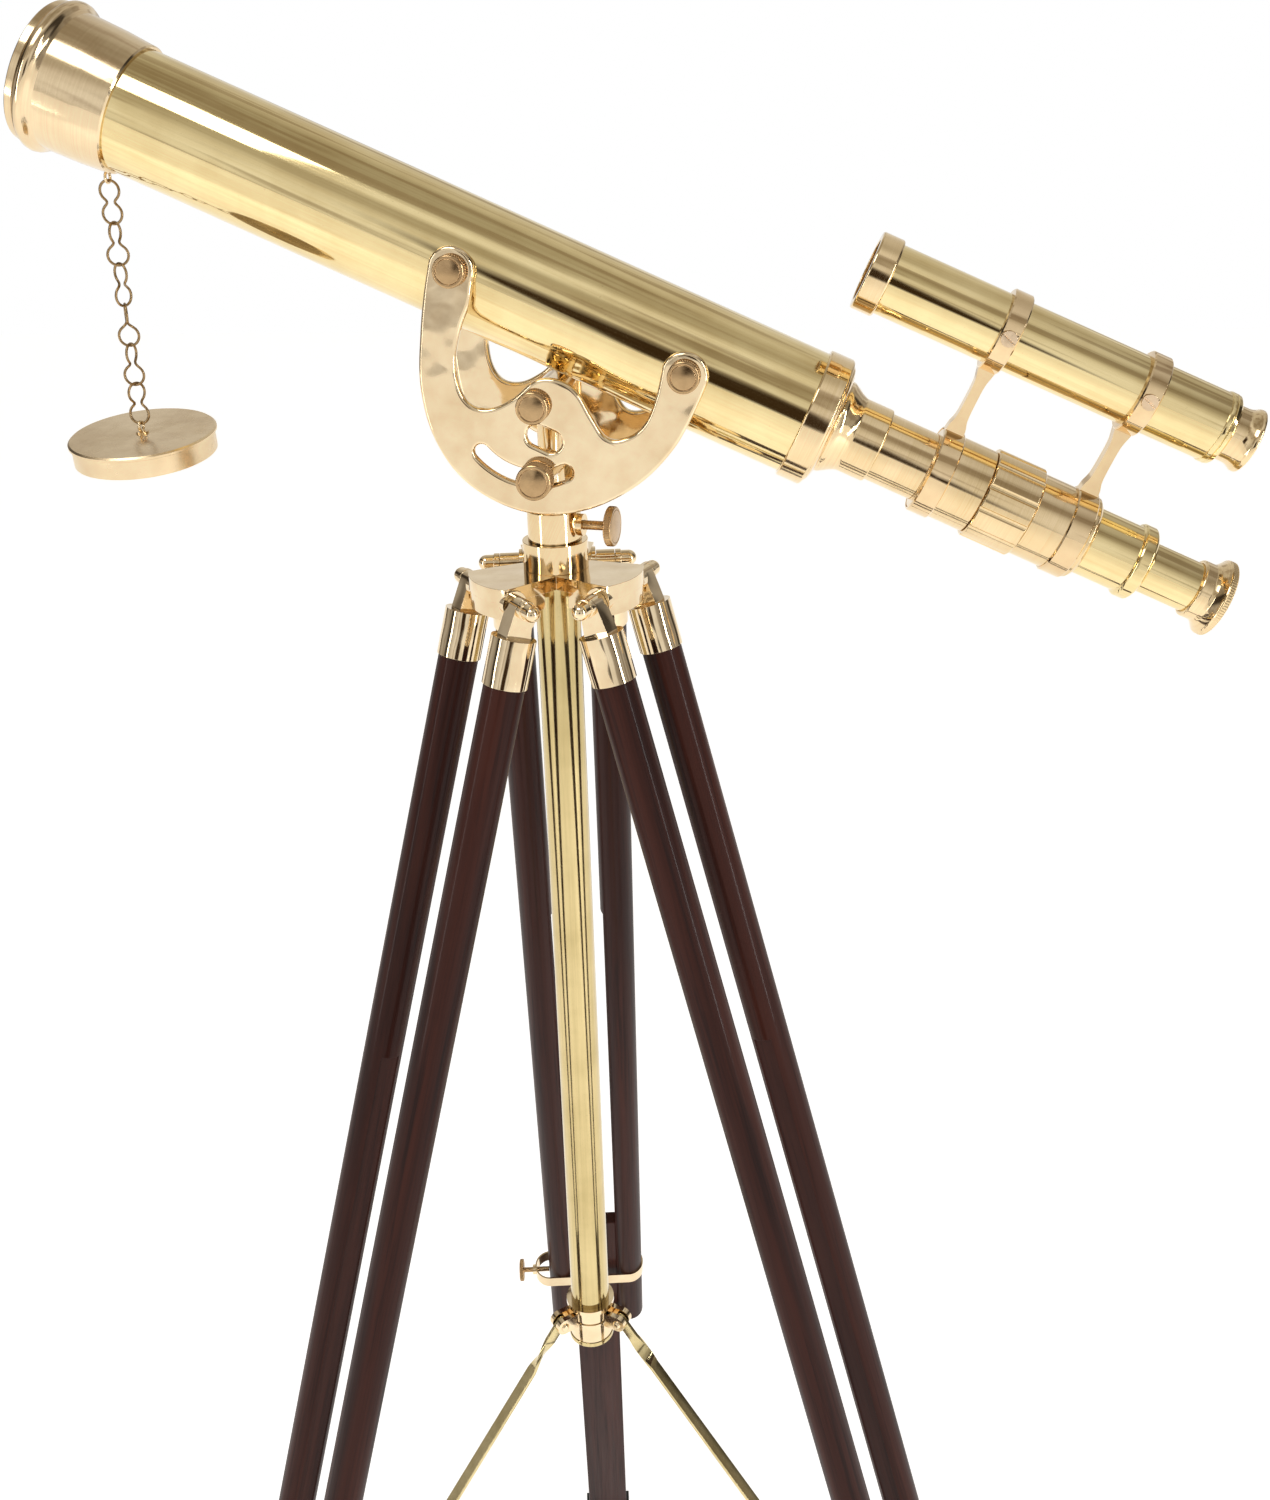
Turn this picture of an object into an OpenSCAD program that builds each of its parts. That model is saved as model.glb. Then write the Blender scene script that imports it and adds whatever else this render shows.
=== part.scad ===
// Floor-standing brass telescope on a folding wooden tripod.
// Origin on the floor under the centre column, +Z up, +X towards the eyepiece. Millimetres.

/* [Main tube] */
// Outside diameter of the main tube
tube_d = 76.2; // [60:0.1:100]
// Wall of the main tube
tube_wall = 1.6; // [1:0.1:3]
// How far the eyepiece end dips below level
tube_tilt = 24.45; // [0:0.05:40]
// Front rim of the dew cap, ahead of the column axis
front_reach = 329.5; // [250:0.5:400]
// Eyepiece rim, behind the column axis
rear_reach = 446.2; // [380:0.2:520]
// Length of the dew cap
dew_len = 59; // [40:1:90]

/* [Finder] */
// Outside diameter of the finder tube
finder_d = 42.4; // [30:0.2:50]
// Finder axis above the main axis
finder_rise = 92; // [80:0.5:110]

/* [Cradle] */
// Thickness of each cheek plate
cheek_t = 6; // [4:0.5:8]
// Tilt pivot below the tube axis
pivot_drop = 53.4; // [45:0.2:65]
// Radius of the tilt slot about the pivot
slot_r = 43.3; // [35:0.1:50]
// Width of the tilt slot
slot_w = 9.2; // [6:0.2:12]
// Half the distance between the tube screws
arm_half = 74; // [60:0.5:85]

/* [Tripod] */
// Height of the leg pins above the floor
pin_z = 1269; // [1100:1:1350]
// Outward lean of a leg in use
leg_lean = 15.77; // [8:0.01:25]
// Distance of the leg pins from the column axis
pin_r = 44.15; // [35:0.05:60]
// Turn of the tripod under the telescope
tripod_turn = 10.45; // [-60:0.05:60]
// Diameter of a leg rod
rod_d = 26.2; // [20:0.2:32]
// Half the distance between the two rods of a leg
rod_half = 32; // [26:0.5:40]
// Lower end of the rods, measured from the pin
rod_end = 903; // [700:1:1000]
// Upper end of the sliding board, measured from the pin
board_top = 746; // [600:1:850]
// Diameter of the centre column
column_d = 28.6; // [20:0.1:40]
// Lower end of the column below the leg pins
column_drop = 606; // [400:1:700]

/* [Hidden] */
tube_r = tube_d / 2;
finder_r = finder_d / 2;
rod_r = rod_d / 2;
column_r = column_d / 2;
fit_gap = 0.06;                                    // radial gap of a running fit
move_gap = 0.3;                                    // gap between pieces that pass each other
pivot_z = pin_z + 122.3;                           // tilt pivot above the floor
pivot_t = pivot_drop * tan(tube_tilt);             // station of the pivot along the tube
axis_z = pivot_z + pivot_drop / cos(tube_tilt);    // tube axis above the column
dew_rear = dew_len - front_reach;
leg_count = 3;
leg_names = ["a", "b", "c"];
leg_az = [for (k = [0:leg_count - 1]) -150 + tripod_turn + 120 * k];
leg_len = pin_z / cos(leg_lean);                   // pin to floor along a leg
board_w = 42.4;
board_t = 12;
strap_s = 826;                                     // clamp band, measured from the pin
strap_reach = 12;                                  // how far its loop stands past a rod
strap_end = rod_half + strap_reach + rod_r;
yoke_s = 890;                                      // strut yoke, measured from the pin
yoke_out = -22;                                    // strut pivot, inside of the leg's plane
hub_top = pin_z + 28.3;
sleeve_z = [pin_z + 28.6, pin_z + 47.8];
plate_z = [pin_z - 9.6, pin_z + 9.9];
column_seat = pin_z + 5.4;                         // upper end of the column, inside the plate
collar_pin = [26, pin_z - 587.5];                  // strut pivots on the spreader collar
lock_z = pin_z + 38.4;
lock_az = -8.2;
ring_t = [252.2, 339.8];                           // front faces of the two finder brackets
ring_w = 13.4;
screw_seat = 24.2;                                 // under a finder screw's head, from the axis
hook_t = -275.6;
eye_r = 3.2;
eye_wire = 0.9;
link_r = 6.42;
wire_r = 0.75;
link_step = 2 * link_r + 1;                        // between the two loops of one link
link_gap = 2 * (link_r - wire_r) - 0.1;            // between loops of neighbouring links
link_count = 6;
loop_turn = [0, 0, 85, 20, -30, 70, -60, 10, 88, 5, 65, 0];   // of each loop about the chain

// a point of the tube's frame, in the row frame
function on_tube(t, n) = [t * cos(tube_tilt) + n * sin(tube_tilt), 0,
                          axis_z - t * sin(tube_tilt) + n * cos(tube_tilt)];
hook = on_tube(hook_t, -44);
hang_z = hook[2] - eye_r;                          // wire that the chain hangs from
first_loop = hang_z + eye_wire + wire_r + 0.05 - link_r;
last_loop = first_loop - (link_count - 1) * (link_step + link_gap) - link_step;
cap_eye = last_loop - link_r + wire_r + eye_wire + 0.05 - eye_r;
cap_top = cap_eye - eye_r - 1.2;
cap_lean = 8;                                      // near side of the hanging cap lower

function arc(x, y, r, from, to, n = 6) =
    [for (i = [0:n]) let (a = from + (to - from) * i / n) [x + r * cos(a), y + r * sin(a)]];

// the same without its two ends
function inner_arc(x, y, r, from, to, n = 16) =
    [for (i = [1:n - 1]) let (a = from + (to - from) * i / n) [x + r * cos(a), y + r * sin(a)]];

// smooth curve through the points, with n steps between neighbours
function smooth(p, n = 6) = concat([for (i = [0:len(p) - 2], j = [0:n - 1])
    let (a = p[max(i - 1, 0)], b = p[i], c = p[i + 1], d = p[min(i + 2, len(p) - 1)], u = j / n)
    (2 * b + (c - a) * u + (2 * a - 5 * b + 4 * c - d) * u * u
     + (3 * b - a - 3 * c + d) * u * u * u) / 2], [p[len(p) - 1]]);

$fn = 96;

head_plate();
hub_post();
column();
column_cap();
leg_bolts();
spreader_collar();
spreader_pins();
azimuth_sleeve();
azimuth_screw();
pillar();
pillar_bolts();
clamp_knob();
clamp_nut();
cheek_plate(1);  // cheek_plate_left
cheek_plate(-1);  // cheek_plate_right
cheek_screws();
main_tube();
dew_cap();
objective_cell();
objective_lens();
tube_end_ring();
rear_bell();
finder_bracket(ring_t[0]);  // finder_bracket_front
finder_bracket(ring_t[1]);  // finder_bracket_rear
finder_screws();
finder_tube();
finder_cell();
finder_lens();
finder_eyecup();
finder_eye_lens();
focus_housing();
focus_ring();
drawtube_1();
drawtube_2();
eyepiece_cup();
eye_lens();
erector_cell();
chain();
lens_cap();
leg_rods(0);  // leg_rods_a
leg_rods(1);  // leg_rods_b
leg_rods(2);  // leg_rods_c
leg_fittings(0);  // leg_fittings_a
leg_fittings(1);  // leg_fittings_b
leg_fittings(2);  // leg_fittings_c
clamp_band(0);  // clamp_band_a
clamp_band(1);  // clamp_band_b
clamp_band(2);  // clamp_band_c
clamp_screw(0);  // clamp_screw_a
clamp_screw(1);  // clamp_screw_b
clamp_screw(2);  // clamp_screw_c
leg_board(0);  // leg_board_a
leg_board(1);  // leg_board_b
leg_board(2);  // leg_board_c
foot_tip(0);  // foot_tip_a
foot_tip(1);  // foot_tip_b
foot_tip(2);  // foot_tip_c
strut(0);  // strut_a
strut(1);  // strut_b
strut(2);  // strut_c

// ---- frames and helpers ----

// the tube's frame: X along the tube towards the eyepiece, Z square to it and up
module on_axis() {
    translate([0, 0, axis_z]) rotate([0, tube_tilt, 0]) children();
}

// the tilt pivot's frame, turned with the tube
module at_pivot() {
    translate([0, 0, pivot_z]) rotate([0, tube_tilt, 0]) children();
}

// a leg's frame: origin on its pin, Z up along the leg, X outwards
module on_leg(k) {
    rotate([0, 0, leg_az[k]]) translate([pin_r, 0, pin_z]) rotate([0, -leg_lean, 0]) children();
}

// a turned piece: points are [station, radius] along X
module turned(points) {
    rotate([0, 90, 0]) rotate_extrude() polygon([for (p = points) [p[1], p[0]]]);
}

// a cylinder along Y between two stations
module along_y(y0, y1, r, r2 = undef) {
    translate([0, y0, 0]) rotate([-90, 0, 0]) cylinder(h = y1 - y0, r1 = r, r2 = is_undef(r2) ? r : r2);
}

// a ring of wire in the XZ plane
module wire_ring(r, w) {
    rotate([90, 0, 0]) rotate_extrude($fn = 48) translate([r, 0]) circle(w, $fn = 24);
}

// a screw head with a chamfered rim, standing along -Y from y
module round_head(y, r, h) {
    along_y(y - h + 0.8, y, r);
    along_y(y - h, y - h + 0.8, r - 0.8, r);
}

// ---- telescope ----

module main_tube() {
    color("#c9b36a") difference() {
        on_axis() turned([[-304, tube_r - tube_wall], [186, tube_r - tube_wall], [186, tube_r],
            [-304, tube_r]]);
        at_pivot()
            for (side = [-1, 1], s = [-1, 1])
                scale([1, side, 1]) translate([s * arm_half, 0, pivot_drop])
                    along_y(-tube_r - 1, -tube_r + 3, 3 + fit_gap);
    }
}

module dew_cap() {
    f = -front_reach;
    color("#b89a6c") {
        on_axis() turned(concat(
            [[f, 41], [f, 43], [f + 0.6, 43.5], [f + 4.6, 43.5]],
            arc(f + 9.8, 41.6, 5, 150, 30),
            [[f + 15.5, 43.2], [f + 17, 42.3], [-290, 41.6], [dew_rear - 1, 40.2],
             [dew_rear, 39.4], [dew_rear, tube_r + 0.05], [f + 24, tube_r + 0.05], [f + 24, 41]]));
        translate(hook) rotate([0, 0, 90]) wire_ring(eye_r, eye_wire);
    }
}

module objective_cell() {
    color("#8a7340") on_axis() turned([[-303, 30.5], [-303, tube_r - tube_wall - 0.05],
        [-284, tube_r - tube_wall - 0.05], [-284, 32], [-288, 32], [-288, 33.1], [-300, 33.1], [-300, 30.5]]);
}

module objective_lens() {
    color("#cfe3ee") on_axis() turned(concat([[-299.9, 0]], [[-299.2, 20], [-297, 33], [-290, 33]],
        [[-288.5, 20], [-288.1, 0]]));
}

module tube_end_ring() {
    color("#d8b878") on_axis() turned([[171.5, tube_r + 0.05], [171.5, 39.9], [172.3, 40.6],
        [186.2, 40.6], [187.4, 39.6], [187.4, 30], [186.1, 30], [186.1, tube_r + 0.05]]);
}

module rear_bell() {
    color("#c9b36a") on_axis() turned([[187.5, 21.5], [187.5, 37.8], [189, 36.6], [190.4, 33],
        [190.9, 29.2], [193.5, 28.8], [196, 27.4], [199.5, 25.2], [202.5, 23.8], [204, 23.3],
        [220.4, 23.3], [221.2, 22.6], [221.2, 21.5]]);
}

module focus_housing() {
    a = ring_t[0];
    b = ring_t[1] + ring_w;
    color("#c9b36a") on_axis() turned([[176, 19.4], [176, 21.4], [a, 21.4], [a, 25], [a + 0.8, 26.1],
        [287.4, 26.1], [287.4, 24.4], [318.8, 24.4], [318.8, 26.1], [b + 2, 26.1], [b + 4, 24],
        [b + 4, 21.2 + fit_gap], [257, 21.2 + fit_gap], [257, 19.4]]);
}

module focus_ring() {
    color("#b8954e") on_axis() difference() {
        turned([[287.8, 24.4 + fit_gap], [287.8, 27.6], [288.6, 28.4], [317.6, 28.4],
            [318.4, 27.6], [318.4, 24.4 + fit_gap]]);
        for (a = [0:30:330])
            rotate([a + 6, 0, 0]) translate([286, 0, 29.6]) rotate([0, 90, 0])
                cylinder(h = 34, r = 2.2, $fn = 32);
    }
}

module drawtube_1() {
    color("#c9b36a") on_axis() turned([[284, 19.6], [284, 21.2], [385.8, 21.2], [386.2, 22.6],
        [387.4, 23.5], [393.6, 23.5], [394.8, 22.4], [396, 20.2], [396, 15.8 + fit_gap],
        [368, 15.8 + fit_gap], [368, 19.6]]);
}

module drawtube_2() {
    color("#c9b36a") on_axis() turned([[334, 14.4], [334, 15.8], [431.5, 15.8], [431.5, 14.4]]);
}

module erector_cell() {
    color("#8a7340") on_axis() {
        turned([[335, 9], [335, 14.3], [347, 14.3], [347, 11], [344, 11], [344, 9]]);
    }
}

module eyepiece_cup() {
    e = rear_reach;
    color("#b89a5c") on_axis() turned([[e - 17.9, 15.85], [e - 17.9, 17.4], [e - 16.9, 18.3],
        [e - 10.4, 18.3], [e - 8.4, 19.3], [e - 6.2, 21.4], [e - 4.6, 23.6], [e - 3.8, 24.1],
        [e - 0.6, 24.1], [e, 23.5], [e, 21.8], [e - 3, 16], [e - 5.5, 9], [e - 8, 9], [e - 8, 11.1],
        [e - 14.6, 11.1], [e - 14.6, 15.85]]);
}

module eye_lens() {
    e = rear_reach;
    color("#cfe3ee") on_axis() turned([[e - 11.5, 0], [e - 11, 8], [e - 10.2, 11], [e - 9.2, 11],
        [e - 8.6, 8.4], [e - 8.2, 0]]);
}

// ---- finder ----

module on_finder() {
    on_axis() translate([0, 0, finder_rise]) children();
}

module finder_tube() {
    color("#c9b36a") on_finder() turned([[176, 19.8], [176, finder_r], [390.6, finder_r],
        [390.6, 21.6], [391.4, 22], [393.4, 22], [393.9, 21.4], [394.4, 22], [396.4, 21.6],
        [397.6, 20.2], [397.6, 17 + fit_gap], [372, 17 + fit_gap], [372, 19.8]]);
}

module finder_cell() {
    color("#d0ad6c") on_finder() turned([[169.5, 18.6], [169.5, 22.9], [170.3, 23.6], [182.2, 23.6],
        [183.2, 22.8], [183.2, finder_r + 0.05], [175.9, finder_r + 0.05], [175.9, 18.6]]);
}

module finder_lens() {
    color("#cfe3ee") on_finder() turned([[176.3, 0], [177.2, 12], [178.2, 19.7], [181.4, 19.7],
        [182.6, 12], [183, 0]]);
}

module finder_eyecup() {
    color("#b89a5c") on_finder() turned([[376, 15.2], [376, 17], [404.6, 17], [407.2, 17.4],
        [409.6, 18.4], [411, 19.4], [413, 19.6], [413.8, 19], [413.8, 17], [411, 12], [409, 7.5],
        [406, 7.5], [406, 10.3], [400, 10.3], [400, 15.2]]);
}

module finder_eye_lens() {
    color("#cfe3ee") on_finder() turned([[401.5, 0], [402, 7], [402.8, 10.2], [404.4, 10.2],
        [405.2, 7], [405.7, 0]]);
}

// waisted bar between the two rings, looking along Y
module bar_shape() {
    side = smooth([[5.8, 26.4], [5.2, 31], [3.6, 37], [3.2, 48], [3.4, 59], [4.8, 66], [5.8, 70.4]]);
    polygon(concat(side, [for (i = [len(side) - 1:-1:0]) [-side[i][0], side[i][1]]]));
}

// one clamp ring on the housing, one on the finder, and the bar between them
module finder_bracket(t) {
    r_in = 26.1;
    color("#d8b878") on_axis() difference() {
        union() {
            turned([[t, 26], [t, 26.8], [t + 0.8, 27.7], [t + ring_w - 0.8, 27.7],
                [t + ring_w, 26.8], [t + ring_w, 26]]);
            translate([0, 0, finder_rise]) turned([[t, 20.8], [t, 24], [t + 0.8, 24.8],
                [t + 10.8, 24.8], [t + 11.6, 24], [t + 11.6, 20.8]]);
            translate([t + 5.8, 5, 0]) rotate([90, 0, 0]) linear_extrude(10) bar_shape();
        }
        turned([[t - 1, 0], [t - 1, r_in], [t + ring_w + 1, r_in], [t + ring_w + 1, 0]]);
        translate([0, 0, finder_rise]) turned([[t - 1, 0], [t - 1, finder_r], [t + 14, finder_r],
            [t + 14, 0]]);
        for (side = [-1, 1])
            translate([t + 5.8, 0, finder_rise]) scale([1, side, 1]) {
                along_y(-30, -screw_seat, 4.8);
                along_y(-25, -20, 2 + fit_gap);
            }
    }
}

module finder_screws() {
    color("#b0894a") on_finder() for (t = ring_t, side = [-1, 1])
        translate([t + 5.8, 0, 0]) scale([1, side, 1]) difference() {
            union() {
                along_y(-26.6, -screw_seat, 4.7);
                along_y(-screw_seat - 0.2, -finder_r - 0.1, 2);
            }
            rotate([0, 20, 0]) translate([-6, -27, -0.5]) cube([12, 1.4, 1]);
        }
}

// ---- cradle ----

plate_outer = smooth([[-88, 53.4], [-84.5, 36], [-78, 12], [-68, -16], [-51, -41], [-27, -58.5],
    [1, -64.4], [29, -59.8], [55, -43.5], [75, -18], [85.5, 10], [88, 36], [88, 53.4]]);
plate_inner = smooth([[60, 53.4], [63.6, 36], [64, 18], [58, 6], [47, 0.6], [34, 8.4], [20, 18.6],
    [6, 20.2], [-5.5, 14], [-13, -0.5], [-23, -12], [-34.5, -15.2], [-45, -8.4], [-53, 6],
    [-56.6, 24], [-57, 40], [-60, 53.4]]);
slot_from = -90 + tube_tilt - 50.2;                // slot's ends, seen from the pivot
slot_to = -90 + tube_tilt + 22.7;

// the two arms end in rounds about the tube screws
module plate_shape() {
    difference() {
        polygon(concat(plate_outer, inner_arc(arm_half, pivot_drop, 14, 0, 180), plate_inner,
                       inner_arc(-arm_half, pivot_drop, 14, 0, 180)));
        for (s = [-1, 1])
            translate([s * arm_half, pivot_drop]) circle(3);
        circle(4 + fit_gap);
        slot();
        translate([12.8, -15.6]) eyelet(6.5, 4.5);
    }
}

// tilt slot, swept about the pivot
module slot() {
    w = slot_w / 2;
    polygon(concat(
        arc(0, 0, slot_r + w, slot_from, slot_to, 24),
        inner_arc(slot_r * cos(slot_to), slot_r * sin(slot_to), w, slot_to, slot_to + 180),
        arc(0, 0, slot_r - w, slot_to, slot_from, 24),
        inner_arc(slot_r * cos(slot_from), slot_r * sin(slot_from), w, slot_from + 180,
                  slot_from + 360)));
}

// oval opening, of radius r with its round ends half apart from the middle
module eyelet(r, half) {
    polygon(concat(arc(half, 0, r, -90, 90, 16), arc(-half, 0, r, 90, 270, 16)));
}

module cheek_plate(side) {
    y = side > 0 ? tube_r : -tube_r - cheek_t;
    color("#e0c094") at_pivot() translate([0, y + cheek_t, 0]) rotate([90, 0, 0])
        linear_extrude(cheek_t) plate_shape();
}

module cheek_screws() {
    y = -tube_r - cheek_t;
    color("#c8a05c") at_pivot() for (side = [-1, 1], s = [-1, 1])
        scale([1, side, 1]) translate([s * arm_half, 0, pivot_drop]) {
            round_head(y, 9.6, 6);
            along_y(y - 0.1, -tube_r + 1.2, 3);
        }
}

// stem with two cross sleeves for the pivot bolt and the clamp bolt
module pillar() {
    half = tube_r - move_gap;
    color("#d8b878") difference() {
        union() {
            translate([0, 0, sleeve_z[1]]) cylinder(h = pivot_z - sleeve_z[1], r = 8);
            translate([0, 0, sleeve_z[1]]) cylinder(h = 4, r = 15);
            translate([0, 0, sleeve_z[1] + 4]) cylinder(h = 8, r1 = 15, r2 = 8);
            for (z = [pivot_z, pivot_z - slot_r])
                translate([0, 0, z]) along_y(-half, half, 9);
        }
        for (z = [pivot_z, pivot_z - slot_r])
            translate([0, 0, z]) along_y(-half - 1, half + 1, 4 + fit_gap);
    }
}

// the pivot bolt with its two knurled heads, and the clamp stud below it
module pillar_bolts() {
    y = tube_r + cheek_t + move_gap;
    color("#b0894a") {
        translate([0, 0, pivot_z]) {
            along_y(-y - 1, y + 1, 4);
            for (side = [-1, 1])
                scale([1, side, 1]) round_head(-y, 9.8, 7);
        }
        translate([0, 0, pivot_z - slot_r]) along_y(-y - 11, y + 9, 4);
    }
}

module clamp_knob() {
    y = -tube_r - cheek_t - move_gap;
    color("#a87c48") translate([0, 0, pivot_z - slot_r]) difference() {
        union() {
            along_y(y - 12, y, 10.8);
            along_y(y - 13, y - 12, 9.8, 10.8);
        }
        along_y(y - 11.4, y + 1, 4 + fit_gap);
    }
}

module clamp_nut() {
    y = tube_r + cheek_t + move_gap;
    color("#a87c48") translate([0, 0, pivot_z - slot_r]) difference() {
        along_y(y, y + 7, 10);
        along_y(y - 1, y + 8, 4 + fit_gap);
    }
}

// ---- head ----

module azimuth_sleeve() {
    color("#d8b878") difference() {
        union() {
            translate([0, 0, sleeve_z[0]]) cylinder(h = sleeve_z[1] - sleeve_z[0], r = 17.1);
            translate([0, 0, lock_z]) rotate([0, 0, lock_az]) rotate([0, 90, 0]) cylinder(h = 20, r = 7);
        }
        translate([0, 0, sleeve_z[0] - 1]) cylinder(h = 18.2, r = 13 + fit_gap);
        translate([0, 0, lock_z]) rotate([0, 0, lock_az]) rotate([0, 90, 0])
            cylinder(h = 30, r = 3.1 + fit_gap);
    }
}

module azimuth_screw() {
    color("#b48a5c") translate([0, 0, lock_z]) rotate([0, 0, lock_az]) rotate([0, 90, 0]) {
        translate([0, 0, 13.4]) cylinder(h = 25, r = 3.1);
        translate([0, 0, 35.8]) cylinder(h = 0.8, r1 = 11.9, r2 = 12.7);
        translate([0, 0, 36.6]) cylinder(h = 4, r = 12.7);
        translate([0, 0, 40.6]) cylinder(h = 0.8, r1 = 12.7, r2 = 11.9);
    }
}

// fixed post under the sleeve, with its collar on the head plate
module hub_post() {
    color("#d8b878") {
        translate([0, 0, plate_z[1]]) cylinder(h = hub_top - plate_z[1], r = 20.9);
        translate([0, 0, hub_top]) cylinder(h = 16, r = 13);
    }
}

// a lobe widens from the post to a round end
module lobe_outline(inset = 0) {
    inner = 17.5 - inset;
    outer = 25.9 - inset;
    intersection() {
        polygon([[0, -inner], [60, -outer], [60, outer], [0, inner]]);
        translate([13.4, 0]) circle(44.2 - inset);
    }
}

// flat top of three lobes, on blocks that carry a boss at each end of a leg pin
module head_plate() {
    top = 9;
    color("#dfc196") difference() {
        union() {
            translate([0, 0, plate_z[1] - top]) linear_extrude(top)
                for (az = leg_az)
                    rotate([0, 0, az]) lobe_outline();
            for (az = leg_az)
                rotate([0, 0, az]) {
                    translate([0, 0, plate_z[0]]) linear_extrude(plate_z[1] - plate_z[0] - top + 0.5)
                        intersection() {
                            lobe_outline(0.4);
                            translate([20, -30]) square([48, 60]);
                        }
                    translate([pin_r, 0, pin_z]) along_y(-25.5, 25.5, 8.4);
                }
        }
        translate([0, 0, plate_z[0] - 1]) cylinder(h = column_seat - plate_z[0] + 1, r = column_r);
        for (az = leg_az)
            rotate([0, 0, az]) translate([pin_r, 0, pin_z]) along_y(-26, 26, 3);
    }
}

module leg_bolts() {
    color("#d8b070") for (az = leg_az)
        rotate([0, 0, az]) translate([pin_r, 0, pin_z]) {
            along_y(-45, 45, 3);
            for (side = [-1, 1])
                scale([1, side, 1]) {
                    along_y(38.5, 42.4, 6.2);
                    along_y(42.3, 47.5, 5.3);
                    translate([0, 47.5, 0]) sphere(5.3, $fn = 48);
                }
        }
}

module column() {
    top = column_seat;
    bottom = pin_z - column_drop;
    color("#c9b36a") translate([0, 0, bottom]) difference() {
        cylinder(h = top - bottom, r = column_r);
        translate([0, 0, -1]) cylinder(h = top - bottom - 20, r = column_r - 1.6);
    }
}

// flange and plug in the column's lower end, where the collar comes to rest
module column_cap() {
    z = pin_z - column_drop;
    color("#c8a05c") {
        translate([0, 0, z - 3.4]) cylinder(h = 3.4, r = 16.8);
        translate([0, 0, z - 5.4]) cylinder(h = 2.1, r1 = 10, r2 = 15);
        translate([0, 0, z - 0.1]) cylinder(h = 12, r = column_r - 1.6);
    }
}

// sliding collar with a clevis for each strut
module spreader_collar() {
    z0 = pin_z - column_drop + 0.3;
    z1 = pin_z - 575.5;
    color("#d0ad6c") difference() {
        union() {
            translate([0, 0, z0]) cylinder(h = z1 - z0, r = 16.2);
            translate([0, 0, z1 - 3.4]) cylinder(h = 3.4, r = 18);
            translate([0, 0, z1 - 15]) cylinder(h = 1.6, r = 17);
            for (az = leg_az, side = [-1, 1])
                rotate([0, 0, az]) {
                    translate([13, side * 4.3 - 2, collar_pin[1] - 6])
                        cube([collar_pin[0] - 13, 4, 12]);
                    translate([collar_pin[0], 0, collar_pin[1]])
                        along_y(side * 4.3 - 2, side * 4.3 + 2, 6);
                }
        }
        translate([0, 0, z0 - 1]) cylinder(h = z1 - z0 + 2, r = column_r + fit_gap);
        for (az = leg_az)
            rotate([0, 0, az]) translate([collar_pin[0], 0, collar_pin[1]]) along_y(-7, 7, 2);
    }
}

module spreader_pins() {
    color("#c8a05c") for (az = leg_az)
        rotate([0, 0, az]) translate([collar_pin[0], 0, collar_pin[1]]) {
            along_y(-6.6, 6.6, 2);
            for (side = [-1, 1])
                scale([1, side, 1]) along_y(6.3, 7.9, 3.4, 2);
        }
}

// ---- legs ----

module leg_rods(k) {
    color("#3a2420") on_leg(k) for (side = [-1, 1])
        difference() {
            translate([0, side * rod_half, -rod_end]) union() {
                translate([0, 0, 3]) cylinder(h = rod_end - 24, r = rod_r);
                cylinder(h = 3, r1 = rod_r - 3, r2 = rod_r);
            }
            translate([-board_t / 2 - move_gap, -board_w / 2 - 0.4, -rod_end - 1])
                cube([board_t + 2 * move_gap, board_w + 0.8, rod_end - 330]);
        }
}

// two ferrules with their lugs, and the yoke that holds the strut
module leg_fittings(k) {
    color("#d8b070") on_leg(k) {
        for (side = [-1, 1])
            translate([0, side * rod_half, 0]) {
                difference() {
                    translate([0, 0, -49.9]) cylinder(h = 31, r = rod_r + 1.2);
                    translate([0, 0, -51]) cylinder(h = 30, r = rod_r);
                }
                lug();
            }
        yoke();
    }
}

module lug() {
    difference() {
        translate([0, 6.2, 0]) rotate([90, 0, 0]) linear_extrude(12.4) union() {
            polygon([[-8.6, -19.4], [8.6, -19.4], [6.2, 0], [-6.2, 0]]);
            circle(6.2);
        }
        along_y(-8, 8, 3 + fit_gap);
    }
}

// a bracket screwed to each rod, with an ear on either side of the strut's end
module yoke() {
    x = -rod_r;
    difference() {
        union() {
            translate([x - 2.4, -28, -yoke_s - 9]) cube([3.4, 56, 18]);
            for (side = [-1, 1]) {
                translate([yoke_out, side * 4.4 - 1.2, -yoke_s - 8])
                    cube([x - 2.4 - yoke_out + 0.2, 2.4, 16]);
                translate([yoke_out, 0, -yoke_s]) along_y(side * 4.4 - 1.2, side * 4.4 + 1.2, 8);
                translate([yoke_out, 0, -yoke_s]) scale([1, side, 1]) along_y(5.4, 7, 3.4, 2.4);
            }
        }
        for (side = [-1, 1])
            translate([0, side * rod_half, -yoke_s - 10]) cylinder(h = 20, r = rod_r);
        translate([yoke_out - 10, -3, -yoke_s - 12]) cube([-yoke_out, 6, 24]);
    }
}

// stadium outline around both rods, longer by extra at its +Y end
module loop_shape(r, extra) {
    translate([-r, -rod_half]) square([2 * r, 2 * rod_half + extra]);
    translate([0, -rod_half]) circle(r);
    translate([0, rod_half + extra]) circle(r);
}

module clamp_band(k) {
    h = 13;
    color("#c8a878") on_leg(k) translate([0, 0, -strap_s - h / 2]) difference() {
        union() {
            linear_extrude(h) difference() {
                loop_shape(rod_r + 1.4, strap_reach);
                loop_shape(rod_r, strap_reach);
            }
            translate([0, 0, h / 2]) along_y(strap_end, strap_end + 4, 4.6);
        }
        translate([0, 0, h / 2]) along_y(strap_end - 4, strap_end + 5, 2.5 + fit_gap);
    }
}

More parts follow.
